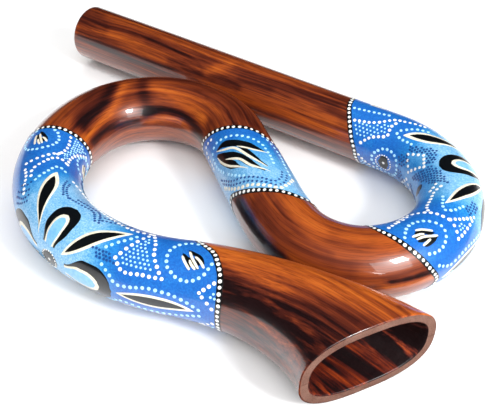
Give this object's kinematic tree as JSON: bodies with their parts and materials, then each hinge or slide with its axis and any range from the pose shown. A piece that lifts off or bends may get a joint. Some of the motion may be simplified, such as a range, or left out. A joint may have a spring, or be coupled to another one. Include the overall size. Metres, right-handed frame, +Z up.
{
  "type": "didgeridoo",
  "caption": "Compact S-shaped wind instrument: a carved wooden tube in two glued halves, with a beeswax mouth ring and a flared oval bell.",
  "frame": {"origin": "bottom centre of the bounding box, with the instrument lying flat", "axes": "+X along the mouth tube, away from the mouth end; +Z up, square to the glue plane; +Y from the bell side to the mouth tube side"},
  "size_m": [0.4698, 0.3018, 0.062],
  "materials": {
    "lacquered_wood": "streaked tropical hardwood under glossy clear lacquer",
    "cut_wood": "plain sanded wood on the cut face of the bell",
    "beeswax": "satin moulded wax",
    "blue_paint": "blue acrylic paint under clear lacquer, deep to light blue",
    "black_paint": "glossy black acrylic paint",
    "cream_paint": "cream acrylic paint lines",
    "white_paint": "raised white acrylic dots",
    "sky_paint": "raised sky-blue acrylic dots",
    "navy_paint": "raised dark-blue acrylic dots"
  },
  "bodies": {
    "root": {"upper_body_half": "lacquered_wood", "lower_body_half": "lacquered_wood", "beeswax_mouthpiece": "beeswax"}
  },
  "joints": []
}
